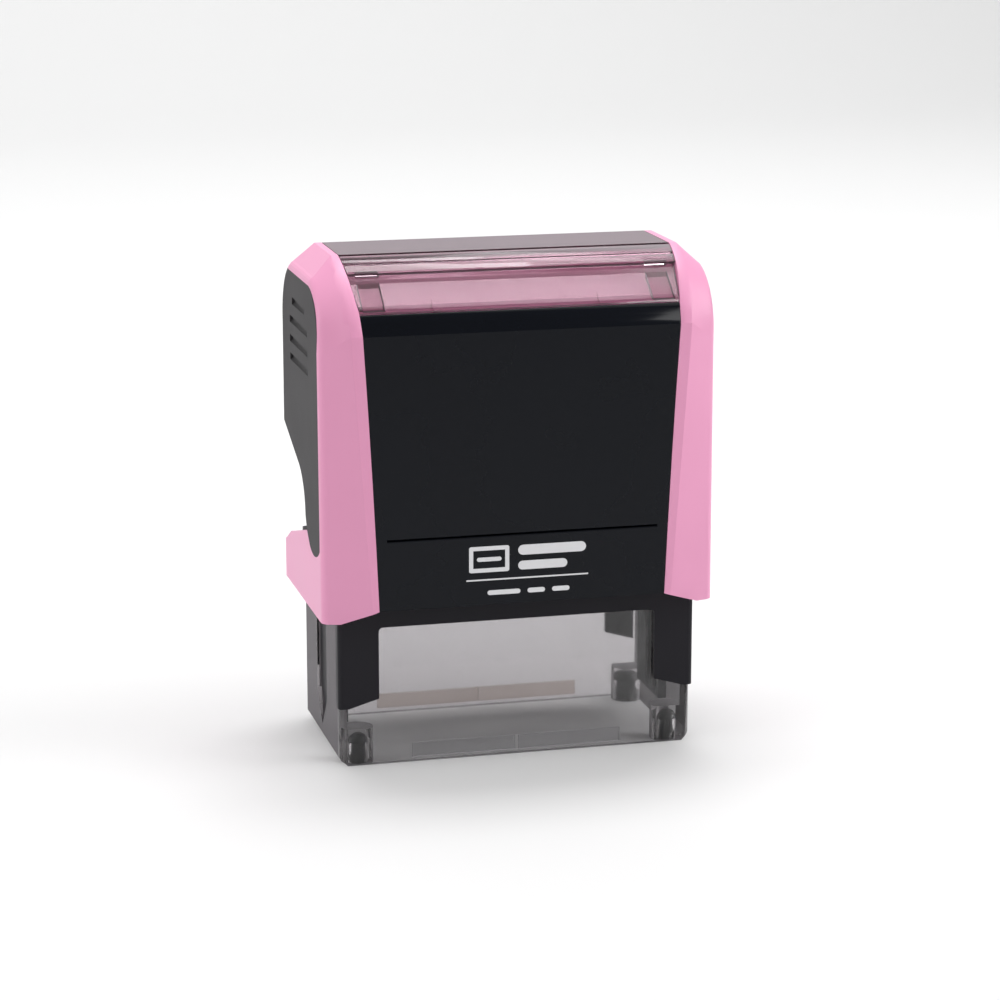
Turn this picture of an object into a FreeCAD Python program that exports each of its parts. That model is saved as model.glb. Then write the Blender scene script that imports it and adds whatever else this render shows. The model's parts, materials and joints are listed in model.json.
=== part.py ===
import FreeCAD, Part
import os
from math import cos, pi, radians, sin, tan

# Self inking stamp with a 47 x 18 mm imprint.  Millimetres.
# Origin: middle of the base on the paper.  +Z up, front at -Y, left at -X.
# A clear base carries a black housing with the ink cartridge.  The pink cap slides
# down over both, and its yoke turns the die carriage from the pad to the paper.

V = FreeCAD.Vector

# --- driving dimensions -------------------------------------------------------
IMPRINT_X = 47.0
IMPRINT_Y = 18.0
STROKE = 24.0              # how far the cap is pressed
FACE_HEIGHT = 7.5          # turning axis to the face of the rubber
PAPER_GAP = 0.15           # face of the rubber above the paper when pressed
PAD_GAP = 0.3              # face of the rubber below the pad at rest

# clear base
BASE_X = 30.4              # half width
BASE_Y = 14.85             # half depth
BASE_TOP = 30.0
BASE_WALL = 1.5
BASE_CHAMFER = 1.4
SLOT_Y = 4.3               # half width of the slot in each side wall
SLOT_BOTTOM = 4.0
BOSS_X = 26.9
BOSS_Y = 11.7
BOSS_R = 2.7
BOSS_TOP = 6.0
FOOT_R = 1.7
FOOT_TOP = 5.2

# black housing
HOUSING_X = 30.6
HOUSING_Y = 15.67
HOUSING_REAR_Y = 10.5      # the upper body stops short at the rear
HOUSING_REAR_TOP = 34.0
DECK_TOP = 50.0
DECK_THICK = 1.6
HOUSING_WALL = 1.5
WINDOW_X = 23.75
WINDOW_TOP = 23.75
LEG_BOTTOM = 10.1
LEG_INNER_BOTTOM = 11.6
LEG_FLAT_X = 28.9          # the leg's end is flat outside this
LEG_WRAP = 1.1             # how far a leg reaches round the corner, across
LEG_WRAP_Y = 13.6          # and where it stops, along the side
REAR_WRAP_BOTTOM = 24.5    # the rear legs are flat below this
RAIL_TOP = 39.5
SPRING_X = 18.0
POST_R = 2.3
POST_H = 1.8

# ink cartridge and pad
CARTRIDGE_X = 24.5
CARTRIDGE_FRONT = -11.5
CARTRIDGE_REAR = 14.2
CARTRIDGE_TOP = 47.4
PAD_X = 23.6
PAD_Y = 10.1
PAD_THICK = 4.05

# cap
CAP_X = 33.4               # half width across the side faces
CAP_CORNER_Y = 16.7        # front corner edge of the side faces
CAP_Y = 19.2               # front and rear panels
CAP_BOTTOM = 25.3
CAP_SIDE_TOP = 81.1
CAP_TOP = 84.6
PANEL_BOTTOM = 27.4
PANEL_TOP = 76.3
PANEL_BACK_Y = 17.0
CENTRE_BOTTOM_X = 24.3     # half width between the pink bands, low down
CENTRE_PANEL_TOP_X = 26.8
CENTRE_TOP_X = 28.2
LIP = 1.1                  # flat rim of a pink band beside the panels and the cover
TOP_PLATE_Y = 7.05
BAR_LINE_Y = 10.2          # fine line along the bar of the clear cover
BAR_LINE_Z = 83.4
CAVITY_X = 31.2
CAVITY_Y = 16.4
CAVITY_SHOULDER = 74.6
YOKE_TOP = 79.8
YOKE_THICK = 1.6
ARM_IN = 25.0
ARM_OUT = 27.0
ARM_Y = 2.6
GRIP_DEPTH = 1.0
GRIP_RIM = 1.1             # pink rim left round the grip
EDGE_R = 1.5               # rounding between a side face and the bands beside it
EDGE_TURN = 65.0           # angle that the rounding turns through, in degrees

# turning carriage
AXLE_R = 1.25
CAM_PIN_R = 1.0
CAM_RADIUS = 4.0           # axle centre to cam pin centre
CARRIAGE_X = 24.4
CARRIAGE_Y = 9.6
CARRIAGE_TOP = 4.2         # above the axis
CARRIAGE_LOW = -2.2
PIN_END = 28.5
CHEEK_IN = 27.3
CHEEK_OUT = 28.7
CHEEK_Y = 6.4
CHEEK_BOTTOM = 5.2
CHEEK_TOP = 38.0

# lock button in the rear panel
BUTTON_X = 4.8
BUTTON_Z = 58.3
BUTTON_HALF_Z = 2.1
BUTTON_GAP = 0.2

# --- worked out from them -----------------------------------------------------
AXIS_DOWN = FACE_HEIGHT + PAPER_GAP
AXIS_Z = AXIS_DOWN + STROKE
PAD_FACE = AXIS_Z + FACE_HEIGHT + PAD_GAP
YOKE_BOTTOM = YOKE_TOP - YOKE_THICK
TURN_PER_MM = pi / STROKE
SIDES = (("left", -1), ("right", 1))
FAR = 100.0              # past every face


# --- helpers ------------------------------------------------------------------
def box(x0, x1, y0, y1, z0, z1):
    """Box from its limits."""
    return Part.makeBox(x1 - x0, y1 - y0, z1 - z0, V(x0, y0, z0))


def mirrored(shape, sign):
    """The shape itself, or its mirror image across X = 0."""
    if sign > 0:
        return shape
    return shape.mirror(V(0, 0, 0), V(1, 0, 0))


def both_sides(shape):
    """The shape and its mirror image across X = 0, as a list."""
    return [shape, mirrored(shape, -1)]


def prism(points, direction):
    """Polygon of 3-D points extruded along a vector."""
    return Part.Face(Part.makePolygon(points + points[:1])).extrude(direction)


def prism_x(points_yz, x0, x1):
    """Side outline extruded from x0 to x1."""
    return prism([V(x0, y, z) for y, z in points_yz], V(x1 - x0, 0, 0))


def prism_y(points_xz, y0, y1):
    """Front outline extruded from y0 to y1."""
    return prism([V(x, y0, z) for x, z in points_xz], V(0, y1 - y0, 0))


def rod_x(radius, x0, x1, y, z):
    """Cylinder along X."""
    return Part.makeCylinder(radius, x1 - x0, V(x0, y, z), V(1, 0, 0))


def rod_z(radius, x, y, z0, z1):
    """Cylinder along Z."""
    return Part.makeCylinder(radius, z1 - z0, V(x, y, z0), V(0, 0, 1))


def line(a, b):
    return Part.LineSegment(a, b).toShape()


def arc(a, middle, b):
    return Part.Arc(a, middle, b).toShape()


def symmetric(half):
    """Outline from its right half: the points and their mirror images."""
    return half + [(-a, b) for a, b in reversed(half)]


def fillet_edges(shape, radius, wanted):
    """Round the edges that the test picks."""
    return shape.makeFillet(radius, [e for e in shape.Edges if wanted(e)])


def is_upright(edge):
    """True for a straight edge along Z."""
    first, last = edge.Vertexes[0].Point, edge.Vertexes[-1].Point
    return abs(first.x - last.x) < 1e-6 and abs(first.y - last.y) < 1e-6


def save(name, shape):
    """Check one piece and write its STEP file."""
    shape = shape.removeSplitter()
    solids = shape.Solids
    assert shape.isValid() and len(solids) == 1, (name, len(solids))
    solids[0].exportStep(os.path.join("parts", name + ".step"))
    print("%-18s %9.1f mm3" % (name, solids[0].Volume))


# --- clear base ---------------------------------------------------------------
def clear_base():
    outer = box(-BASE_X, BASE_X, -BASE_Y, BASE_Y, 0, BASE_TOP)
    outer = fillet_edges(outer, 1.2, is_upright)
    outline = symmetric([
        (BASE_X - BASE_CHAMFER, 0),
        (BASE_X, BASE_CHAMFER),
        (BASE_X, BASE_TOP),
    ])
    outer = outer.common(prism_y(outline, -FAR, FAR))
    inner_x = BASE_X - BASE_WALL
    inner_y = BASE_Y - BASE_WALL
    shell = outer.cut(box(-inner_x, inner_x, -inner_y, inner_y, -1, FAR))
    shell = shell.fuse(foot_bosses())
    cuts = [foot_hole(x, y) for x, y in foot_places()]
    cuts += side_slots() + corner_notches() + alignment_recesses()
    return shell.cut(cuts)


def foot_places():
    return [(sx * BOSS_X, sy * BOSS_Y) for sx in (-1, 1) for sy in (-1, 1)]


def foot_bosses():
    """Rounded posts in the corners, which hold the feet."""
    return [rod_z(BOSS_R, x, y, 0, BOSS_TOP) for x, y in foot_places()]


def foot_hole(x, y):
    return rod_z(FOOT_R, x, y, -1, FOOT_TOP - FOOT_R).fuse(
        Part.makeSphere(FOOT_R, V(x, y, FOOT_TOP - FOOT_R)))


def side_slots():
    """Tall slot in each side wall with a tapered bottom."""
    outline = [
        (-SLOT_Y, BASE_TOP + 1),
        (-SLOT_Y, SLOT_BOTTOM + SLOT_Y),
        (0, SLOT_BOTTOM - 1),
        (SLOT_Y, SLOT_BOTTOM + SLOT_Y),
        (SLOT_Y, BASE_TOP + 1),
    ]
    return both_sides(prism_x(outline, BASE_X - BASE_WALL - 0.2, FAR))


def corner_notches():
    """Corners thinned where the housing wraps round them, lower down at the front."""
    x0 = HOUSING_X - LEG_WRAP
    front = box(x0, FAR, -FAR, -LEG_WRAP_Y, LEG_BOTTOM, FAR)
    rear = box(x0, FAR, LEG_WRAP_Y, FAR, REAR_WRAP_BOTTOM, FAR)
    return both_sides(front) + both_sides(rear)


def alignment_recesses():
    """Shallow slot low on the front and rear, with a tick in the middle."""
    half, tick, depth = 18.0, 0.3, 0.5
    return [
        box(x0, x1, y0, y1, 0.7, 3.2)
        for y0, y1 in ((-BASE_Y - 1, -BASE_Y + depth), (BASE_Y - depth, BASE_Y + 1))
        for x0, x1 in ((-half, -tick), (tick, half))
    ]


def foot(x, y):
    """Rubber foot: a round peg with a domed top, flush with the base."""
    return foot_hole(x, y).common(box(-FAR, FAR, -FAR, FAR, 0, FAR))


# --- black housing ------------------------------------------------------------
def inner_housing():
    body = box(-HOUSING_X, HOUSING_X, -HOUSING_Y, HOUSING_Y, LEG_BOTTOM, DECK_TOP)
    body = fillet_edges(body, 0.8, is_upright)
    cuts = housing_cavity() + housing_rear_cuts() + [leg_outline_cut()]
    cuts += both_sides(box(ARM_IN - 0.4, ARM_OUT + 0.4, -3.1, 3.1, 45, FAR))
    body = body.cut(cuts)
    return body.fuse(cartridge_rails() + spring_posts())


def housing_cavity():
    """Room for the cartridge and the carriage, and the fit over the clear base."""
    side = HOUSING_X - HOUSING_WALL - 0.2
    front = HOUSING_Y - HOUSING_WALL
    return [
        box(-side, side, -front, front, 0, DECK_TOP - DECK_THICK),
        box(-HOUSING_X + LEG_WRAP, HOUSING_X - LEG_WRAP, -BASE_Y, BASE_Y, 0, BASE_TOP),
        box(-FAR, FAR, -LEG_WRAP_Y, LEG_WRAP_Y, 0, BASE_TOP),
    ]


def leg_outline_cut():
    """The window between the legs, and the slanted ends of the legs."""
    outline = symmetric([
        (LEG_FLAT_X, 0),
        (LEG_FLAT_X, LEG_BOTTOM),
        (WINDOW_X, LEG_INNER_BOTTOM),
        (WINDOW_X, WINDOW_TOP),
    ])
    cut = prism_y(outline, -FAR, FAR)
    return fillet_edges(cut, 0.8, is_window_corner)


def is_window_corner(edge):
    """True for the two upper edges of the window, which run along Y."""
    first, last = edge.Vertexes[0].Point, edge.Vertexes[-1].Point
    along_y = abs(first.y - last.y) > FAR
    return along_y and abs(first.z - WINDOW_TOP) < 1e-6


def housing_rear_cuts():
    """Low rear wall with the lock's notch, so that the cartridge comes out; flat legs."""
    return [
        box(-FAR, FAR, HOUSING_REAR_Y, FAR, HOUSING_REAR_TOP, FAR),
        box(-6.3, 6.3, BASE_Y - BASE_WALL, FAR, BASE_TOP + 0.8, FAR),
    ] + both_sides(box(LEG_FLAT_X, FAR, 0, FAR, 0, REAR_WRAP_BOTTOM))


def cartridge_rails():
    """Ledges under the ends of the cartridge, either side of the yoke's arms."""
    inner, outer = CARTRIDGE_X - 0.55, HOUSING_X - HOUSING_WALL
    front = HOUSING_Y - HOUSING_WALL
    rails = []
    for y0, y1 in ((-front, -4.0), (4.0, HOUSING_REAR_Y)):
        rails += both_sides(box(inner, outer, y0, y1, CHEEK_TOP, RAIL_TOP))
    return rails


def spring_posts():
    return both_sides(rod_z(POST_R, SPRING_X, 0, DECK_TOP - 0.5, DECK_TOP + POST_H))


# --- cam tracks ---------------------------------------------------------------
def cam_pin_place(turn):
    """Centre of the cam pin over the base, at a turn of the carriage in radians."""
    fall = turn / TURN_PER_MM
    return CAM_RADIUS * cos(turn), AXIS_Z - fall - CAM_RADIUS * sin(turn)


def cam_track(x0, x1):
    """Curved track: a band each side of the path of the cam pin."""
    half_width = CAM_PIN_R + 0.2
    steps = 18
    sides = ([], [])
    for i in range(steps + 1):
        turn = pi * i / steps
        y, z = cam_pin_place(turn)
        slope_y = -CAM_RADIUS * sin(turn)
        slope_z = -1 / TURN_PER_MM - CAM_RADIUS * cos(turn)
        length = (slope_y ** 2 + slope_z ** 2) ** 0.5
        for side, points in zip((-1, 1), sides):
            offset = side * half_width / length
            points.append(V(x0, y - offset * slope_z, z + offset * slope_y))
    edges = []
    for points in sides:
        curve = Part.BSplineCurve()
        curve.interpolate(points)
        edges.append(curve.toShape())
    edges.append(line(sides[0][0], sides[1][0]))
    edges.append(line(sides[0][-1], sides[1][-1]))
    band = Part.Face(Part.Wire(Part.__sortEdges__(edges)))
    ends = [rod_x(half_width, x0, x1, *cam_pin_place(turn)) for turn in (0, pi)]
    return band.extrude(V(x1 - x0, 0, 0)).fuse(ends)


def guide_cheek(sign):
    """Black cam plate inside the side wall, with a straight and a curved track."""
    plate = box(CHEEK_IN, CHEEK_OUT, -CHEEK_Y, CHEEK_Y, CHEEK_BOTTOM, CHEEK_TOP)
    foot_of_wall = box(CHEEK_OUT - 0.2, BASE_X - BASE_WALL, -CHEEK_Y, CHEEK_Y,
                       BASE_TOP, CHEEK_TOP)
    strip_y = SLOT_Y - 0.2
    strip = prism_x([
        (-strip_y, BASE_TOP),
        (-strip_y, SLOT_BOTTOM + SLOT_Y + 1),
        (0, SLOT_BOTTOM + 1),
        (strip_y, SLOT_BOTTOM + SLOT_Y + 1),
        (strip_y, BASE_TOP),
    ], CHEEK_OUT - 0.1, BASE_X - 0.7)
    half = AXLE_R + 0.15
    straight = box(CHEEK_IN - 1, CHEEK_OUT - 0.1, -half, half, AXIS_DOWN, AXIS_Z)
    ends = [rod_x(half, CHEEK_IN - 1, CHEEK_OUT - 0.1, 0, z) for z in (AXIS_DOWN, AXIS_Z)]
    tracks = [straight, cam_track(CHEEK_IN - 1, CHEEK_OUT - 0.1)] + ends
    return mirrored(plate.fuse([foot_of_wall, strip]).cut(tracks), sign)


# --- ink cartridge ------------------------------------------------------------
def ink_cartridge():
    """Tray over the pad, with a ribbed end plate to pull it out by."""
    tray = box(-CARTRIDGE_X, CARTRIDGE_X, CARTRIDGE_FRONT, CARTRIDGE_REAR - 1.8,
               RAIL_TOP, CARTRIDGE_TOP)
    end = box(-22.5, 22.5, CARTRIDGE_REAR - 2, CARTRIDGE_REAR, 37.4, CARTRIDGE_TOP + 0.4)
    end = fillet_edges(end, 1.5, lambda e: is_along_y(e, 22.5))
    top_groove = box(-18, 18, -8, 8, CARTRIDGE_TOP - 0.8, FAR)
    grooves = [box(-17, 17, CARTRIDGE_REAR - 0.6, FAR, z, z + 0.9)
               for z in (39.6, 41.4, 43.2, 45.0)]
    recess = box(-PAD_X, PAD_X, -PAD_Y, PAD_Y, 0, PAD_FACE + PAD_THICK)
    return tray.fuse(end).cut([recess, top_groove] + grooves)


def is_along_y(edge, x):
    """True for a straight edge along Y at this distance from the middle."""
    first, last = edge.Vertexes[0].Point, edge.Vertexes[-1].Point
    straight = abs(first.x - last.x) < 1e-6 and abs(first.z - last.z) < 1e-6
    return straight and abs(abs(first.x) - x) < 1e-6


def ink_pad():
    return box(-PAD_X, PAD_X, -PAD_Y, PAD_Y, PAD_FACE, PAD_FACE + PAD_THICK)


# --- cap outlines -------------------------------------------------------------
def side_edges(place, corner, shoulder, middle, top):
    """Closed side outline: upright faces, rounded shoulders, flat top.

    place turns (y, z) into a 3-D point; the other points give the front half.
    """
    def both(point):
        return place(*point), place(-point[0], point[1])

    low_front, low_rear = both(corner)
    shoulder_front, shoulder_rear = both(shoulder)
    middle_front, middle_rear = both(middle)
    top_front, top_rear = both(top)
    return Part.Wire([
        line(low_rear, low_front),
        line(low_front, shoulder_front),
        arc(shoulder_front, middle_front, top_front),
        line(top_front, top_rear),
        arc(top_rear, middle_rear, shoulder_rear),
        line(shoulder_rear, low_rear),
    ])


def outer_outline(sign, turn):
    """Outline round a side face, part way through the turn of its rounded edge."""
    x = sign * (CAP_X - EDGE_R * (1 - cos(turn)))
    inset = EDGE_R * (tan(radians(EDGE_TURN) / 2) - sin(turn))
    return side_edges(
        lambda y, z: V(x, y, z),
        (-CAP_CORNER_Y + inset, CAP_BOTTOM),
        (-CAP_CORNER_Y + 0.4 + inset, 70.0),
        (-14.2 + 0.75 * inset, 77.4 - 0.65 * inset),
        (-8.7 + 0.3 * inset, CAP_SIDE_TOP - inset),
    )


def inner_outline(sign, lip=0.0):
    """Outline where a side band meets the flat front and rear, or a lip outside that."""
    lean = (CENTRE_TOP_X - CENTRE_BOTTOM_X) / (CAP_TOP - PANEL_BOTTOM)

    def place(y, z):
        return V(sign * (CENTRE_BOTTOM_X + lip + lean * (z - PANEL_BOTTOM)), y, z)

    return side_edges(
        place,
        (-CAP_Y, CAP_BOTTOM),
        (-CAP_Y, 73.0),
        (-14.2, 80.6),
        (-TOP_PLATE_Y, CAP_TOP),
    )


def cap_envelope():
    """Whole outer form of the cap, as if it were solid."""
    turns = [radians(EDGE_TURN) * step / 4 for step in range(5)]
    left = [outer_outline(-1, turn) for turn in turns]
    middle = [inner_outline(-1, LIP), inner_outline(-1), inner_outline(1), inner_outline(1, LIP)]
    right = [outer_outline(1, turn) for turn in reversed(turns)]
    return Part.makeLoft(left + middle + right, True, True)


def centre_zone(inset=0.0):
    """Everything between the pink bands, seen from the front."""
    def half(sign):
        low = V(sign * (CENTRE_BOTTOM_X - inset), -FAR, PANEL_BOTTOM)
        middle = V(sign * (25.5 - inset), -FAR, 54.0)
        shoulder = V(sign * (CENTRE_PANEL_TOP_X - inset), -FAR, PANEL_TOP)
        top = V(sign * (CENTRE_TOP_X - inset), -FAR, CAP_TOP + 0.5)
        return low, middle, shoulder, top

    low_l, middle_l, shoulder_l, top_l = half(-1)
    low_r, middle_r, shoulder_r, top_r = half(1)
    floor_l, floor_r = V(low_l.x, -FAR, 0), V(low_r.x, -FAR, 0)
    wire = Part.Wire([
        line(floor_l, low_l),
        arc(low_l, middle_l, shoulder_l),
        line(shoulder_l, top_l),
        line(top_l, top_r),
        line(top_r, shoulder_r),
        arc(shoulder_r, middle_r, low_r),
        line(low_r, floor_r),
        line(floor_r, floor_l),
    ])
    return Part.Face(wire).extrude(V(0, 2 * FAR, 0))


def cap_cavity():
    """Space inside the cap for the housing, and above it for the yoke's plate."""
    outline = symmetric([
        (CAVITY_Y, 0),
        (CAVITY_Y, CAVITY_SHOULDER),
        (CAVITY_Y - 1, CAVITY_SHOULDER + 1),
        (9.6, YOKE_TOP),
    ])
    return prism_x(outline, -CAVITY_X, CAVITY_X)


def waist_edges():
    """Rear edge of the side faces: a gentle slope, a bend, then steeply down."""
    top, slope_end = (16.7, 53.4), (2.2, 48.2)
    bend, low, tip = (-1.5, 45.4), (-3.2, 40.6), (-4.4, 38.3)
    return top, slope_end, bend, low, tip


def waist_cut():
    """Gap at the rear of the cap, through which the cartridge comes out."""
    def at(point):
        return V(-FAR, *point)

    top, slope_end, bend, low, tip = [at(point) for point in waist_edges()]
    foot_top, foot_corner = at((10.6, 34.5)), at((15.6, 32.0))
    out_low, out_high = at((FAR, 32.0)), at((FAR, 53.4))
    wire = Part.Wire([
        line(out_high, top),
        line(top, slope_end),
        arc(slope_end, bend, low),
        line(low, tip),
        line(tip, foot_top),
        line(foot_top, foot_corner),
        line(foot_corner, out_low),
        line(out_low, out_high),
    ])
    return Part.Face(wire).extrude(V(2 * FAR, 0, 0))


def bottom_cut():
    """The lower edge rises from the side faces to the panels."""
    outline = symmetric([(30.5, 0), (30.5, CAP_BOTTOM), (CENTRE_BOTTOM_X, PANEL_BOTTOM)])
    return prism_y(outline, -FAR, FAR)


def grip_zone():
    """Outline of the grip on the right side face, as deep as the grip."""
    x = CAP_X - GRIP_DEPTH

    def at(y, z):
        return V(x, y, z)

    front = -CAP_CORNER_Y + GRIP_RIM
    top = CAP_SIDE_TOP - GRIP_RIM
    tip_front, tip_low, tip_rear = at(front + 0.1, 37.2), at(-11.5, 35.4), at(-6.9, 36.2)
    shoulder, middle, crown = at(front + 0.5, 70.0), at(-13.9, 77.1), at(-8.6, top)
    waist_top, slope_end, bend, low, tip = [at(*point) for point in waist_edges()]
    out_top, out_low = at(FAR, top), at(FAR, waist_top.z)
    wire = Part.Wire([
        line(tip_front, shoulder),
        arc(shoulder, middle, crown),
        line(crown, out_top),
        line(out_top, out_low),
        line(out_low, waist_top),
        line(waist_top, slope_end),
        arc(slope_end, bend, low),
        line(low, tip),
        line(tip, tip_rear),
        arc(tip_rear, tip_low, tip_front),
    ])
    return Part.Face(wire).extrude(V(GRIP_DEPTH + 1, 0, 0))


def grip_grooves():
    """Four finger grooves across the grip."""
    rows = ((75.1, 5.6), (71.8, 7.8), (68.5, 7.8), (65.4, 7.8))
    return [
        Part.makeCylinder(0.6, 2 * half, V(CAP_X + 0.1, 0.7 - half, z), V(0, 1, 0))
        for z, half in rows
    ]


# --- cap pieces ---------------------------------------------------------------
def bridge_outline():
    """Section of the pink bridge under the clear cover, front half mirrored."""
    return symmetric([
        (16.6, CAVITY_SHOULDER + 0.9),
        (16.6, 76.3),
        (10.0, 81.2),
        (7.8, 82.7),
    ])


def cap_shell(envelope):
    """Pink shell: two side bands, the bridge at the top and the beam at the rear."""
    shell = envelope.cut(centre_zone())
    bridge = prism_x(bridge_outline(), -CENTRE_TOP_X - 0.4, CENTRE_TOP_X + 0.4)
    beam = box(-CENTRE_BOTTOM_X - 1, CENTRE_BOTTOM_X + 1, PANEL_BACK_Y, CAP_Y,
               CAP_BOTTOM, 32.0)
    pips = [
        pip
        for sign in (-1, 1)
        for pip in both_sides(bridge_pip(sign))
    ]
    shell = shell.fuse([bridge, beam] + pips)
    cuts = [cap_cavity(), waist_cut(), bottom_cut()]
    cuts += both_sides(grip_zone())
    for sign in (-1, 1):
        cuts += both_sides(clip_pocket(sign).common(centre_zone()))
    return shell.cut(cuts)


def clip_pocket(sign):
    """Shallow pocket in the bridge for a clip of the clear cover."""
    outline = [(11.7, CAP_TOP), (11.7, 79.15), (15.7, 76.25), (18.0, 76.25), (18.0, CAP_TOP)]
    return prism_x([(sign * y, z) for y, z in outline], 22.2, 26.4)


def bridge_pip(sign):
    """Small rib low on the slope of the bridge."""
    return prism_x([
        (sign * 15.0, 76.0),
        (sign * 17.0, 76.0),
        (sign * 17.0, 76.6),
        (sign * 15.0, 78.2),
    ], 13.3, 14.5)


def side_grip(envelope, sign):
    """Dark grip set flush into a side face."""
    grip = envelope.common(grip_zone()).cut([waist_cut()] + grip_grooves())
    return mirrored(grip, sign)


def front_panel(envelope):
    panel = envelope.common(centre_zone())
    panel = panel.common(box(-FAR, FAR, -FAR, -PANEL_BACK_Y, PANEL_BOTTOM, PANEL_TOP))
    seam = box(-22.9, 22.9, -FAR, -CAP_Y + 0.4, 39.05, 39.35)
    return panel.cut(seam)


def rear_panel(envelope):
    """Rear panel with an arched lower edge and the hole for the lock button."""
    panel = envelope.common(centre_zone())
    panel = panel.common(box(-FAR, FAR, PANEL_BACK_Y, FAR, 50.0, PANEL_TOP))
    arch_radius = 110.0
    arch_top = 53.4
    arch = Part.makeCylinder(arch_radius, FAR, V(0, 0, arch_top - arch_radius), V(0, 1, 0))
    hole_x = BUTTON_X + BUTTON_GAP
    hole_z = BUTTON_HALF_Z + BUTTON_GAP
    hole = box(-hole_x, hole_x, 0, FAR, BUTTON_Z - hole_z, BUTTON_Z + hole_z)
    return panel.cut([arch, hole])


def lock_button():
    """Push button with a dished face and a flange that keeps it in its hole."""
    stem = box(-BUTTON_X, BUTTON_X, 15.8, CAP_Y,
               BUTTON_Z - BUTTON_HALF_Z, BUTTON_Z + BUTTON_HALF_Z)
    flange = box(-5.8, 5.8, 16.2, PANEL_BACK_Y - BUTTON_GAP, BUTTON_Z - 2.9, BUTTON_Z + 2.9)
    dish_radius = 12.0
    dish = Part.makeSphere(dish_radius, V(0, CAP_Y + dish_radius - 0.5, BUTTON_Z))
    return stem.fuse(flange).cut(dish)


def press_yoke():
    """Black bracket fixed under the bridge; its arms carry the carriage."""
    plate = box(-30.0, 30.0, -9.4, 9.4, YOKE_BOTTOM, YOKE_TOP)
    bosses = both_sides(rod_z(POST_R, SPRING_X, 0, YOKE_BOTTOM - POST_H, YOKE_BOTTOM + 0.5))
    arm = box(ARM_IN, ARM_OUT, -ARM_Y, ARM_Y, AXIS_Z, YOKE_BOTTOM + 0.5)
    eye = rod_x(ARM_Y, ARM_IN, ARM_OUT, 0, AXIS_Z)
    gusset = prism_x([(-9.0, YOKE_BOTTOM), (9.0, YOKE_BOTTOM), (ARM_Y, 75.2), (-ARM_Y, 75.2)],
                     ARM_IN, ARM_OUT)
    yoke = plate.fuse(bosses + both_sides(arm) + both_sides(eye) + both_sides(gusset))
    bore = rod_x(AXLE_R + 0.05, -FAR, FAR, 0, AXIS_Z)
    return yoke.cut(bore)


def label_card():
    """Index card that lies on the bridge under the clear cover."""
    return box(-26.0, 26.0, -6.9, 6.9, 82.7, 82.95)


def label_cover(envelope):
    """Clear cover: a top plate, a rounded bar and a sloping strip front and rear."""
    cover = envelope.common(centre_zone(0.12))
    cover = cover.common(box(-FAR, FAR, -FAR, FAR, PANEL_TOP + 0.15, FAR))
    inside = symmetric([
        (17.1, 0),
        (17.1, 76.8),
        (10.3, 81.7),
        (7.6, 83.1),
    ])
    step_outside = [(11.7, 81.7), (18.6, 76.2), (FAR, 76.2), (FAR, 82.4), (12.4, 82.4)]
    cuts = [prism_x(inside, -FAR, FAR)]
    tabs = []
    for sign in (-1, 1):
        cuts.append(prism_x([(sign * y, z) for y, z in step_outside], -FAR, FAR))
        y0, y1 = sorted((sign * 10.6, sign * FAR))
        cuts += both_sides(box(22.4, 26.2, y0, y1, 81.5, 81.95))
        tab = prism_x([
            (sign * 12.0, 80.5),
            (sign * 17.4, 76.6),
            (sign * 15.9, 76.6),
            (sign * 12.0, 79.4),
        ], 22.5, 26.1)
        tabs += both_sides(tab)
    return cover.cut(cuts + cover_lines()).fuse(tabs)


def cover_lines():
    """Groove beside the top plate and a fine line along the bar, front and rear."""
    lines = []
    for sign in (-1, 1):
        y0, y1 = sorted((sign * TOP_PLATE_Y, sign * (TOP_PLATE_Y + 0.55)))
        lines.append(box(-FAR, FAR, y0, y1, CAP_TOP - 0.75, FAR))
        lines.append(rod_x(0.3, -FAR, FAR, sign * BAR_LINE_Y, BAR_LINE_Z))
    return lines


def spring(sign):
    """Return spring between the deck and the yoke's plate, with an eight sided wire."""
    wire_radius, coil_radius, turns = 0.3, 3.0, 7
    low = DECK_TOP + wire_radius + 0.05
    height = YOKE_BOTTOM - wire_radius - 0.05 - low
    pitch = height / turns
    path = Part.Wire(Part.makeHelix(pitch, height, coil_radius).Edges)
    across = V(1, 0, 0)
    upright = V(0, -pitch, 2 * pi * coil_radius).normalize()
    corners = [
        across * (coil_radius + wire_radius * cos(pi * i / 4))
        + upright * (wire_radius * sin(pi * i / 4))
        for i in range(8)
    ]
    coil = path.makePipeShell([Part.makePolygon(corners + corners[:1])], True, True)
    coil.translate(V(sign * SPRING_X, 0, low))
    return coil


# --- carriage -----------------------------------------------------------------
def die_carriage():
    """Tray that holds the rubber, with its axle stubs and cam pins."""
    tray = box(-CARRIAGE_X, CARRIAGE_X, -CARRIAGE_Y, CARRIAGE_Y,
               AXIS_Z + CARRIAGE_LOW, AXIS_Z + CARRIAGE_TOP)
    pockets = [
        box(x0, x1, y0, y1, 0, AXIS_Z + CARRIAGE_TOP - 1.6)
        for x0, x1 in ((-23.0, -12.2), (-11.2, -0.5), (0.5, 11.2), (12.2, 23.0))
        for y0, y1 in ((-8.4, -0.6), (0.6, 8.4))
    ]
    pins = both_sides(rod_x(AXLE_R, CARRIAGE_X - 1, PIN_END, 0, AXIS_Z))
    pins += both_sides(rod_x(CAM_PIN_R, CARRIAGE_X - 1, PIN_END, *cam_pin_place(0)))
    return tray.cut(pockets).fuse(pins)


def die_layer(low, high, half_x=IMPRINT_X / 2, half_y=IMPRINT_Y / 2):
    return box(-half_x, half_x, -half_y, half_y, AXIS_Z + low, AXIS_Z + high)


def die_cushion():
    return die_layer(CARRIAGE_TOP, CARRIAGE_TOP + 1)


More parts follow.
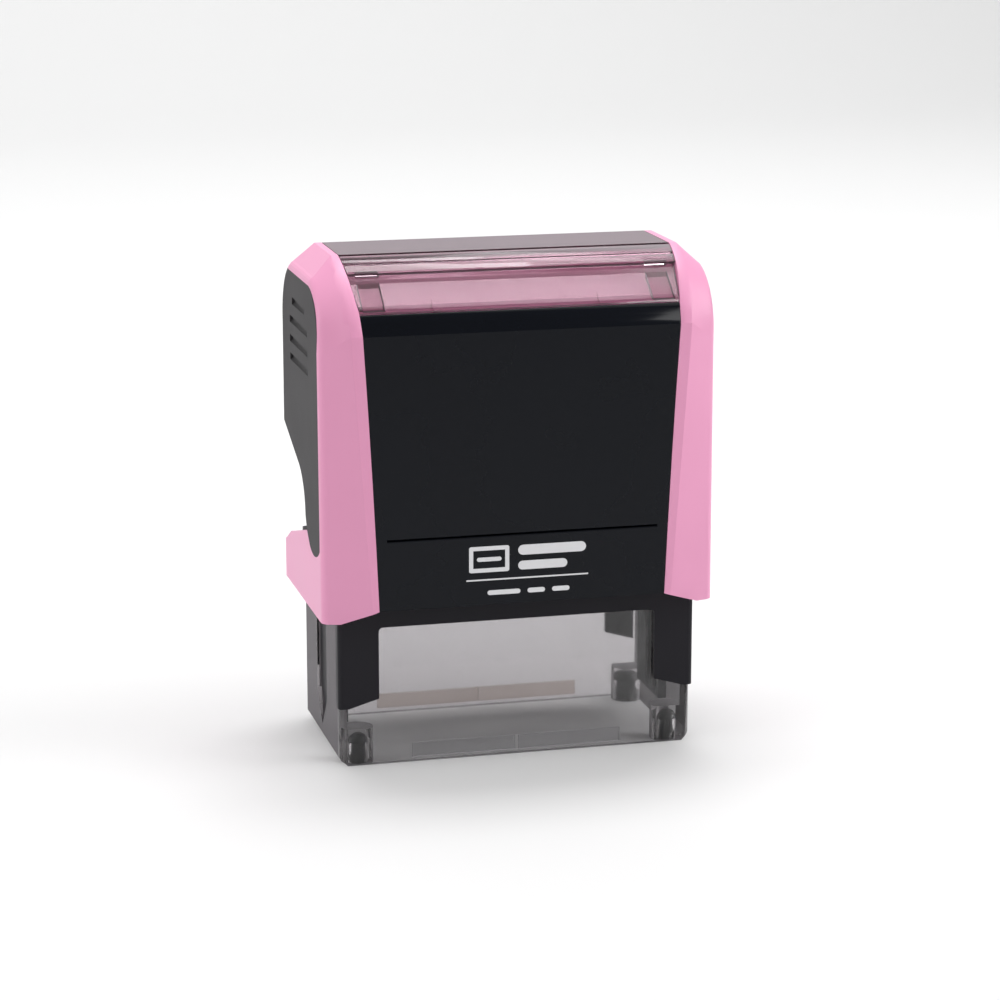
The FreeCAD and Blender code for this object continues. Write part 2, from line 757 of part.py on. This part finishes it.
def rubber_die():
    """Rubber sheet with raised bars, which stand for the lines of an imprint."""
    relief = 1.0
    sheet = die_layer(CARRIAGE_TOP + 1, FACE_HEIGHT - relief)
    bars = [
        die_layer(FACE_HEIGHT - relief - 0.2, FACE_HEIGHT, half_x, 1.1)
        .translated(V(0, y, 0))
        for y, half_x in ((-6.9, 15.0), (-2.3, 21.0), (2.3, 18.0), (6.9, 22.5))
    ]
    return sheet.fuse(bars)


# --- build --------------------------------------------------------------------
def main():
    os.makedirs("parts", exist_ok=True)
    save("clear_base", clear_base())
    for x, y in foot_places():
        name = "foot_%s_%s" % ("front" if y < 0 else "rear", "left" if x < 0 else "right")
        save(name, foot(x, y))
    save("inner_housing", inner_housing())
    save("ink_cartridge", ink_cartridge())
    save("ink_pad", ink_pad())
    envelope = cap_envelope()
    save("cap_shell", cap_shell(envelope))
    save("front_panel", front_panel(envelope))
    save("rear_panel", rear_panel(envelope))
    save("label_cover", label_cover(envelope))
    save("label_card", label_card())
    save("press_yoke", press_yoke())
    save("lock_button", lock_button())
    for side, sign in SIDES:
        save("guide_cheek_" + side, guide_cheek(sign))
        save("grip_" + side, side_grip(envelope, sign))
        save("spring_" + side, spring(sign))
    save("die_carriage", die_carriage())
    save("die_cushion", die_cushion())
    save("rubber_die", rubber_die())


main()
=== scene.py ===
import json
import math

import bmesh
import bpy
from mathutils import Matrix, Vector


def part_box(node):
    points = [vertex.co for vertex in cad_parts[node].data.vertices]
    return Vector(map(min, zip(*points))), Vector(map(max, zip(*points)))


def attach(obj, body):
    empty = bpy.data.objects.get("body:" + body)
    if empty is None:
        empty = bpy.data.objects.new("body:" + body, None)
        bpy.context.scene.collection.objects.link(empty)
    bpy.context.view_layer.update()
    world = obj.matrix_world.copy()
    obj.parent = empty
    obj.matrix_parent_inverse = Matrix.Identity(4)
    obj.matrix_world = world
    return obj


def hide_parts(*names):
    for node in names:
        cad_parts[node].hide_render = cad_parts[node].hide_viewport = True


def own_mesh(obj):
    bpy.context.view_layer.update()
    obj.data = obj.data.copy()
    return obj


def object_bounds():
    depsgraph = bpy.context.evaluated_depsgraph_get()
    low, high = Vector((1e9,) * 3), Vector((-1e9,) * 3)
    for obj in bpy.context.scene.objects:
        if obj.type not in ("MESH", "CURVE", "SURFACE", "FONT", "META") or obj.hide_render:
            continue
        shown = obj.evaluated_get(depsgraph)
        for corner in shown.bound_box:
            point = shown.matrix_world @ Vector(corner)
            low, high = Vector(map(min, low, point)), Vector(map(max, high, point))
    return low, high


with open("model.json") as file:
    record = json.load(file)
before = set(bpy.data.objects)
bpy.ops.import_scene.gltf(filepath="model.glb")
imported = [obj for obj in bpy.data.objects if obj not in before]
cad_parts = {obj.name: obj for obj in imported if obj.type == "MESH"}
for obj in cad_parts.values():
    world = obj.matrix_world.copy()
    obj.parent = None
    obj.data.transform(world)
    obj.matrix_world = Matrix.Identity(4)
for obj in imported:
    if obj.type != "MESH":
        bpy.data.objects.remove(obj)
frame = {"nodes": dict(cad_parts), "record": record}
CAD_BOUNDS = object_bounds()
MM = 0.001

# --- the view: from the front left and a little above, through a long lens ------
AZIMUTH = math.radians(-14.2)
ELEVATION = math.radians(13.38)
DISTANCE = 0.5172
LENS = 109.42
SENSOR = 36.0
AIM_DROP = 1.88 * MM        # the view is centred a little under the object's middle
AIM_SIDE = 0.81 * MM        # and a little to the right of it

# --- plastics -----------------------------------------------------------------
PLASTIC_IOR = 1.49
EDGE_ROUND = 0.25 * MM      # rounding of moulded edges
EDGE_SHADE_FROM = 0.4             # where painted shade on edge-on clear plastic begins, 0 is face-on
EDGE_SHADE_FULL = 0.8             # and where the painted shade is full
EDGE_SHADE_CLEARNESS = 0.15       # share of light that plastic under full painted edge-on shade still lets through

# --- the long alignment recess low on the front and rear of the clear base -----
RECESS_DEPTH = 0.5 * MM
RECESS_BOTTOM = 0.65 * MM
RECESS_TOP = 3.25 * MM
RECESS_HALF = 18.05 * MM
# painted shade in the front part of the recess
RECESS_PAINTED_SHADE = (0.50, 0.49, 0.51, 1)
FROST_COLOUR = (0.60, 0.50, 0.45, 1)
FROST_ROUGHNESS = 0.7
FROST_CLEARNESS = 0.7

# --- the printed sign on the front panel ---------------------------------------
INK_THICK = 0.03 * MM
INK_SINK = 0.01 * MM        # how far the ink goes into the panel
MARK_SHIFT = 0.65 * MM      # the sign stands a little right of the panel's middle

# --- the springs ----------------------------------------------------------------
SPRING_TURNS = 8
SPRING_WIRE = 0.3 * MM      # radius of the wire
SPRING_CLOSING = 0.4        # how much closer the coils lie at the two ends

NODES = frame["nodes"]
LOW, HIGH = [Vector(corner) for corner in CAD_BOUNDS]
CENTRE = (LOW + HIGH) / 2


# --- node trees ---------------------------------------------------------------
def new_material(name):
    """New material with a Principled shader; returns the material, its tree and the shader."""
    material = bpy.data.materials.new(name)
    material.use_nodes = True
    tree = material.node_tree
    tree.nodes.clear()
    output = tree.nodes.new("ShaderNodeOutputMaterial")
    shader = tree.nodes.new("ShaderNodeBsdfPrincipled")
    tree.links.new(shader.outputs["BSDF"], output.inputs["Surface"])
    return material, tree, shader


def noise(tree, scale, detail=4.0, stretch=(1, 1, 1)):
    """Object-space noise of a given number of cells per metre."""
    place = tree.nodes.new("ShaderNodeTexCoord")
    mapping = tree.nodes.new("ShaderNodeMapping")
    mapping.inputs["Scale"].default_value = stretch
    texture = tree.nodes.new("ShaderNodeTexNoise")
    texture.inputs["Scale"].default_value = scale
    texture.inputs["Detail"].default_value = detail
    tree.links.new(place.outputs["Object"], mapping.inputs["Vector"])
    tree.links.new(mapping.outputs["Vector"], texture.inputs["Vector"])
    return texture.outputs["Fac"]


def spread(tree, value, low, high):
    """Map a 0..1 value to low..high."""
    node = tree.nodes.new("ShaderNodeMapRange")
    node.inputs["To Min"].default_value = low
    node.inputs["To Max"].default_value = high
    tree.links.new(value, node.inputs["Value"])
    return node.outputs["Result"]


def tint(tree, value, dark, light):
    """Mix two colours by a 0..1 value."""
    node = tree.nodes.new("ShaderNodeMix")
    node.data_type = "RGBA"
    node.inputs["A"].default_value = dark
    node.inputs["B"].default_value = light
    tree.links.new(value, node.inputs["Factor"])
    return node.outputs["Result"]


def bump(tree, shader, value, height, strength=0.5):
    """Raise the surface by value times height, in metres."""
    node = tree.nodes.new("ShaderNodeBump")
    node.inputs["Strength"].default_value = strength
    node.inputs["Distance"].default_value = height
    tree.links.new(value, node.inputs["Height"])
    tree.links.new(node.outputs["Normal"], shader.inputs["Normal"])


def moulded(name, colour, roughness, grain=0.004 * MM, cells=2500.0, mottle=0.06, level=0.5):
    """Moulded plastic or rubber: fine texture, uneven gloss, slightly uneven colour."""
    material, tree, shader = new_material(name)
    patches = noise(tree, 70.0)
    dark = [channel * (1 - mottle) for channel in colour] + [1]
    light = [channel * (1 + mottle) for channel in colour] + [1]
    tree.links.new(tint(tree, patches, dark, light), shader.inputs["Base Color"])
    tree.links.new(spread(tree, patches, *roughness), shader.inputs["Roughness"])
    shader.inputs["Specular IOR Level"].default_value = level
    bump(tree, shader, noise(tree, cells, 2.0), grain)
    return material


def smoky(name, surface, edge_on_shade_colour, tinge, density):
    """Clear plastic with faint flow marks, greyer the further light travels in it.

    Seen nearly edge-on it is drawn darker and less clear, in the edge-on colour: painted shade.
    """
    material, tree, shader = new_material(name)
    marks = noise(tree, 120.0, stretch=(1, 1, 0.3))
    tree.links.new(spread(tree, marks, 0.03, 0.08), shader.inputs["Roughness"])
    shader.inputs["IOR"].default_value = PLASTIC_IOR
    shader.inputs["Specular IOR Level"].default_value = 0.0
    edge_on = tree.nodes.new("ShaderNodeLayerWeight")
    edge_shade = tree.nodes.new("ShaderNodeMapRange")
    edge_shade.inputs["From Min"].default_value = EDGE_SHADE_FROM
    edge_shade.inputs["From Max"].default_value = EDGE_SHADE_FULL
    tree.links.new(edge_on.outputs["Facing"], edge_shade.inputs["Value"])
    edge_shade = edge_shade.outputs["Result"]
    # painted shade: nearly edge-on the colour turns to the darker edge-on colour and less light
    # passes
    tree.links.new(tint(tree, edge_shade, surface, edge_on_shade_colour), shader.inputs["Base Color"])
    clearness = spread(tree, edge_shade, 1.0, EDGE_SHADE_CLEARNESS)
    tree.links.new(clearness, shader.inputs["Transmission Weight"])
    bump(tree, shader, marks, 0.01 * MM, 0.3)
    depth = tree.nodes.new("ShaderNodeVolumeAbsorption")
    depth.inputs["Color"].default_value = tinge
    depth.inputs["Density"].default_value = density
    output = next(node for node in tree.nodes if node.type == "OUTPUT_MATERIAL")
    tree.links.new(depth.outputs["Volume"], output.inputs["Volume"])
    return material


def between(tree, value, low, high):
    """1 where a coordinate lies between two limits, otherwise 0."""
    above = tree.nodes.new("ShaderNodeMath")
    above.operation = "GREATER_THAN"
    above.inputs[1].default_value = low
    below = tree.nodes.new("ShaderNodeMath")
    below.operation = "LESS_THAN"
    below.inputs[1].default_value = high
    tree.links.new(value, above.inputs[0])
    tree.links.new(value, below.inputs[0])
    return product(tree, above.outputs[0], below.outputs[0])


def product(tree, first, second):
    """One value times another."""
    node = tree.nodes.new("ShaderNodeMath")
    node.operation = "MULTIPLY"
    tree.links.new(first, node.inputs[0])
    tree.links.new(second, node.inputs[1])
    return node.outputs[0]


def blend_input(tree, socket, mask, inside):
    """Where the mask is 1, replace what feeds a shader socket by a fixed colour or number."""
    blend = tree.nodes.new("ShaderNodeMix")
    blend.data_type = "RGBA" if socket.type == "RGBA" else "FLOAT"
    ends = [slot for slot in blend.inputs if slot.enabled and slot.name in ("A", "B")]
    tree.links.new(mask, blend.inputs["Factor"])
    tree.links.new(socket.links[0].from_socket, ends[0])
    ends[1].default_value = inside
    result = next(slot for slot in blend.outputs if slot.enabled)
    tree.links.new(result, socket)


def finish_recesses(material):
    """Long recess low on the clear base: painted shade darkens it at the front, and it is frosted
    and beige at the rear.
    """
    tree = material.node_tree
    shader = next(node for node in tree.nodes if node.type == "BSDF_PRINCIPLED")
    base_low, base_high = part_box("clear_base")
    place = tree.nodes.new("ShaderNodeTexCoord")
    split = tree.nodes.new("ShaderNodeSeparateXYZ")
    tree.links.new(place.outputs["Object"], split.inputs[0])
    along, up = split.outputs["X"], split.outputs["Z"]
    region = product(tree, between(tree, along, -RECESS_HALF, RECESS_HALF),
                     between(tree, up, base_low[2] + RECESS_BOTTOM, base_low[2] + RECESS_TOP))
    sunk = between(tree, split.outputs["Y"], base_low[1] + RECESS_DEPTH / 4,
                   base_low[1] + 2 * RECESS_DEPTH)
    # painted shade: the sunk front recess is drawn in a darker colour
    blend_input(tree, shader.inputs["Base Color"], product(tree, sunk, region), RECESS_PAINTED_SHADE)
    rear = between(tree, split.outputs["Y"], base_high[1] - 2 * RECESS_DEPTH,
                   base_high[1] + RECESS_DEPTH)
    frost = product(tree, rear, region)
    blend_input(tree, shader.inputs["Base Color"], frost, FROST_COLOUR)
    blend_input(tree, shader.inputs["Roughness"], frost, FROST_ROUGHNESS)
    blend_input(tree, shader.inputs["Transmission Weight"], frost, FROST_CLEARNESS)


def make_finishes():
    """One finish for each material slot of the record."""
    return {
        "pink_plastic": moulded("pink_plastic", (0.84, 0.345, 0.55), (0.36, 0.46), mottle=0.03),
        "black_plastic": moulded("black_plastic", (0.018, 0.017, 0.021), (0.4, 0.5), level=0.12),
        "panel_plastic": moulded("panel_plastic", (0.003, 0.004, 0.007), (0.10, 0.14),
                                 grain=0.001 * MM, level=0.17),
        "grip_rubber": moulded("grip_rubber", (0.045, 0.042, 0.045), (0.55, 0.7),
                               grain=0.02 * MM, cells=4000.0, level=0.25),
        "foot_rubber": moulded("foot_rubber", (0.015, 0.015, 0.016), (0.5, 0.7)),
        "pad_felt": moulded("pad_felt", (0.012, 0.012, 0.020), (0.85, 0.95), 0.1 * MM),
        "card": moulded("card", (0.60, 0.54, 0.57), (0.6, 0.8), 0.005 * MM),
        "spring_steel": steel("spring_steel"),
        "cushion_foam": moulded("cushion_foam", (0.21, 0.21, 0.22), (0.8, 0.9), 0.1 * MM),
        "die_rubber": moulded("die_rubber", (0.25, 0.07, 0.06), (0.45, 0.6), 0.01 * MM),
        # the second colour is painted shade, used where the clear base is seen nearly edge-on
        "clear_plastic": smoky("clear_plastic", (0.74, 0.73, 0.74, 1), (0.18, 0.17, 0.18, 1),
                               (0.50, 0.48, 0.49, 1), 180.0),
    }


def steel(name):
    """Bright drawn wire."""
    material, tree, shader = new_material(name)
    marks = noise(tree, 3000.0, stretch=(1, 1, 0.1))
    tree.links.new(spread(tree, marks, 0.2, 0.35), shader.inputs["Roughness"])
    shader.inputs["Base Color"].default_value = (0.58, 0.58, 0.6, 1)
    shader.inputs["Metallic"].default_value = 1.0
    bump(tree, shader, marks, 0.002 * MM)
    return material


def finish_cad_nodes(finishes):
    """Give every CAD node its slot's finish; the clear cover has a pinker one of its own."""
    # the cover's second colour is painted shade, used where it is seen nearly edge-on
    cover_finish = smoky("clear_cover", (0.80, 0.70, 0.75, 1), (0.28, 0.24, 0.26, 1),
                         (0.68, 0.42, 0.53, 1), 350.0)
    finish_recesses(finishes["clear_plastic"])
    for part in frame["record"]["subparts"]:
        node = NODES[part["node"]]
        is_cover = part["node"] == "label_cover"
        node.data.materials.clear()
        node.data.materials.append(cover_finish if is_cover else finishes[part["material_slot"]])
        soften_edges(node)
    NODES["clear_base"].visible_shadow = False      # light reaches the paper inside the base


def soften_edges(node):
    """Round the sharp edges of a moulded piece very slightly."""
    weld = node.modifiers.new("weld", "WELD")
    weld.merge_threshold = 0.001 * MM
    bevel = node.modifiers.new("soft_edges", "BEVEL")
    bevel.width = EDGE_ROUND
    bevel.segments = 2
    bevel.limit_method = "ANGLE"
    bevel.angle_limit = math.radians(35)
    bevel.harden_normals = True


# --- stage --------------------------------------------------------------------
def make_floor():
    """Pale floor that curves up into a backdrop far behind the object."""
    half = 3.0
    back = 0.9              # where the curve starts
    turn = 0.5              # its radius
    height = 2.0
    steps = 12
    profile = [(-half, 0.0), (back, 0.0)]
    for step in range(1, steps + 1):
        angle = math.pi / 2 * step / steps
        profile.append((back + turn * math.sin(angle), turn - turn * math.cos(angle)))
    profile.append((back + turn, height))
    form = bmesh.new()
    rows = [
        [form.verts.new((x, y, z)) for y, z in profile]
        for x in (-half, half)
    ]
    for a, b, c, d in zip(rows[0], rows[1], rows[1][1:], rows[0][1:]):
        form.faces.new((a, b, c, d)).smooth = True
    mesh = bpy.data.meshes.new("floor")
    form.to_mesh(mesh)
    form.free()
    floor = bpy.data.objects.new("floor", mesh)
    bpy.context.scene.collection.objects.link(floor)
    material, tree, shader = new_material("floor_paper")
    shader.inputs["Base Color"].default_value = (0.80, 0.80, 0.80, 1)
    shader.inputs["Roughness"].default_value = 0.8
    mesh.materials.append(material)
    floor.location.z = LOW.z - 0.1 * MM


def direction(azimuth, elevation):
    """Unit vector from the object towards a viewer."""
    return Vector((
        math.sin(azimuth) * math.cos(elevation),
        -math.cos(azimuth) * math.cos(elevation),
        math.sin(elevation),
    ))


def make_camera():
    """Camera at the photograph's viewing angle."""
    data = bpy.data.cameras.new("camera")
    camera = bpy.data.objects.new("camera", data)
    bpy.context.scene.collection.objects.link(camera)
    data.lens = LENS
    data.sensor_width = SENSOR
    back = direction(AZIMUTH, ELEVATION)
    side = Vector((math.cos(AZIMUTH), math.sin(AZIMUTH), 0))
    aim = CENTRE + side * AIM_SIDE - Vector((0, 0, AIM_DROP))
    camera.location = aim + back * DISTANCE
    camera.rotation_euler = back.to_track_quat("Z", "Y").to_euler()
    bpy.context.scene.camera = camera


def make_light(name, azimuth, elevation, distance, size, power, aim=CENTRE):
    """Soft square light at a direction and distance from the point that it faces."""
    data = bpy.data.lights.new(name, "AREA")
    data.size = size
    data.energy = power
    light = bpy.data.objects.new(name, data)
    bpy.context.scene.collection.objects.link(light)
    towards = direction(math.radians(azimuth), math.radians(elevation))
    light.location = aim + towards * distance
    light.rotation_euler = towards.to_track_quat("Z", "Y").to_euler()


def make_lights():
    """Soft boxes at both sides, above and behind, one on the backdrop, and a dim white room.

    After its name, each light has its azimuth and elevation in degrees, its distance and size
    in metres, and its power in watts.
    """
    make_light("left_softbox", -85, 25, 0.8, 0.55, 1.9)
    make_light("right_softbox", 72, 25, 0.9, 0.5, 3.8)
    make_light("top_softbox", 10, 82, 0.9, 0.9, 2.9)
    make_light("back_softbox", 145, 64, 0.9, 0.45, 1.6)
    make_light("backdrop_light", 0, 50, 1.4, 0.8, 12.0, aim=Vector((0, 1.35, 0.35)))
    world = bpy.data.worlds.new("studio")
    world.use_nodes = True
    world.node_tree.nodes["Background"].inputs["Color"].default_value = (1, 1, 1, 1)
    world.node_tree.nodes["Background"].inputs["Strength"].default_value = 0.3
    bpy.context.scene.world = world
    bpy.context.scene.view_settings.view_transform = "Standard"


# --- pieces that replace or dress the CAD -------------------------------------
def mesh_piece(name, form, finish, body):
    """Object made from a bmesh, with its finish, riding on a body."""
    bmesh.ops.recalc_face_normals(form, faces=form.faces)
    mesh = bpy.data.meshes.new(name)
    form.to_mesh(mesh)
    form.free()
    mesh.materials.append(finish)
    piece = bpy.data.objects.new(name, mesh)
    bpy.context.scene.collection.objects.link(piece)
    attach(piece, body)
    return piece


def print_shape(form, outline, face, lift):
    """Thin closed slab with the given outline, standing just proud of a front face."""
    front = [form.verts.new((x, face - lift, z)) for x, z in outline]
    back = [form.verts.new((x, face + INK_SINK, z)) for x, z in outline]
    form.faces.new(front)
    form.faces.new(back[::-1])
    for i in range(len(outline)):
        j = (i + 1) % len(outline)
        form.faces.new((front[j], front[i], back[i], back[j]))


def bar_outline(left, right, low, high):
    """Level bar with round ends."""
    radius = (high - low) / 2
    middle = (low + high) / 2
    steps = 8
    outline = []
    for centre, start in ((right - radius, -90), (left + radius, 90)):
        for step in range(steps + 1):
            angle = math.radians(start + 180 * step / steps)
            outline.append((centre + radius * math.cos(angle), middle + radius * math.sin(angle)))
    return outline


def box_outline(left, right, low, high):
    """Plain rectangle."""
    return [(left, low), (right, low), (right, high), (left, high)]


def make_panel_mark(ink):
    """Plain printed sign low on the front panel: a framed block, two bars and a rule.

    Each shape is given by its left, right, lower and upper edge in millimetres, from the middle
    of the sign and the foot of the panel.
    """
    low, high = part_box("front_panel")
    middle = (low[0] + high[0]) / 2 + MARK_SHIFT
    bars = [
        (-10.4, 10.4, 4.2, 4.45),       # rule
        (-9.9, -3.1, 9.3, 10.0),        # top of the frame
        (-9.9, -3.1, 5.6, 6.3),         # foot of the frame
        (-8.6, -4.4, 7.45, 8.15),       # block inside the frame
        (-1.6, 10.0, 8.2, 9.9),         # two heavy bars beside it
        (-1.6, 6.8, 5.7, 7.2),
        (-6.8, -1.2, 1.7, 2.5),         # three light bars below the rule
        (0.0, 3.0, 1.7, 2.5),
        (4.2, 7.2, 1.7, 2.5),
    ]
    posts = [
        (-9.9, -9.2, 5.8, 9.8),         # sides of the frame
        (-3.8, -3.1, 5.8, 9.8),
    ]
    form = bmesh.new()
    for shapes, outline, lift in (
        (bars, bar_outline, INK_THICK),
        (posts, box_outline, 0.9 * INK_THICK),      # a little lower than the bars they cross
    ):
        for edges in shapes:
            left, right, bottom, top = [edge * MM for edge in edges]
            shape = outline(middle + left, middle + right, low[2] + bottom, low[2] + top)
            print_shape(form, shape, low[1], lift)
    mesh_piece("panel_mark", form, ink, "cap")


def make_spring(side, finish):
    """Round wire spring that replaces the plain CAD coil; in the real stamp the cap squeezes it."""
    node = "spring_" + side
    low, high = [Vector(corner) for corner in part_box(node)]
    foot = Vector(((low.x + high.x) / 2, (low.y + high.y) / 2, low.z))
    height = high.z - low.z
    radius = (high.x - low.x) / 2 - SPRING_WIRE
    steps = 28
    facets = 8
    form = bmesh.new()
    rings = []
    for i in range(SPRING_TURNS * steps + 1):
        share = i / (SPRING_TURNS * steps)
        angle = 2 * math.pi * i / steps
        rise = share - SPRING_CLOSING * math.sin(2 * math.pi * share) / (2 * math.pi)
        out = Vector((math.cos(angle), math.sin(angle), 0))
        up = Vector((0, 0, SPRING_WIRE + rise * (height - 2 * SPRING_WIRE)))
        rings.append(wire_ring(form, foot + up + out * radius, out, facets))
    for ring, following in zip(rings, rings[1:]):
        for k in range(facets):
            near = (k + 1) % facets
            form.faces.new((ring[k], ring[near], following[near], following[k])).smooth = True
    form.faces.new(rings[0])
    form.faces.new(rings[-1])
    piece = mesh_piece("coil_" + side, form, finish, "base")
    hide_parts(node)
    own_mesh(piece)


def wire_ring(form, middle, out, facets):
    """Ring of vertices round the wire, upright and facing out from the spring's axis."""
    ring = []
    for k in range(facets):
        angle = 2 * math.pi * k / facets
        across = out * SPRING_WIRE * math.cos(angle)
        ring.append(form.verts.new(middle + across + Vector((0, 0, SPRING_WIRE * math.sin(angle)))))
    return ring


def make_soft_slab(name, node, finish, body, corner, crown):
    """Soft sheet with rounded edges and corners and crowned faces, inside the CAD solid.

    The corner is the share by which the edges are drawn in, and the crown is the share by which
    the sheet is thinner at its ends and sides than in its middle.
    """
    low, high = [Vector(limit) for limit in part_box(node)]
    centre = (low + high) / 2
    half = (high - low) / 2
    form = bmesh.new()
    bmesh.ops.create_cube(form, size=2.0)
    bmesh.ops.subdivide_edges(form, edges=form.edges[:], cuts=15, use_grid_fill=True)
    for vert in form.verts:
        x, y, z = vert.co
        edge = max(abs(x) ** 8, abs(y) ** 4)
        flat = 1 - crown * (x * x + y * y) / 2
        pull = 1 - corner * z * z * edge
        round_off = 1 - 0.25 * corner * (x * x * y * y)
        vert.co = Vector((
            centre.x + half.x * x * pull * round_off,
            centre.y + half.y * y * pull * round_off,
            centre.z + half.z * z * flat,
        ))
    for face in form.faces:
        face.smooth = True
    piece = mesh_piece(name, form, finish, body)
    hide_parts(node)


def make_pieces(finishes):
    """The printed sign, the round wire springs and the soft sheets."""
    make_panel_mark(moulded("printed_ink", (0.78, 0.78, 0.80), (0.35, 0.5), mottle=0.02))
    for side in ("left", "right"):
        make_spring(side, finishes["spring_steel"])
    make_soft_slab("felt_pad", "ink_pad", finishes["pad_felt"], "base",
                   0.02, 0.12)
    make_soft_slab("foam_sheet", "die_cushion", finishes["cushion_foam"],
                   "carriage", 0.01, 0.05)


FINISHES = make_finishes()
finish_cad_nodes(FINISHES)
make_pieces(FINISHES)
make_floor()
make_camera()
make_lights()
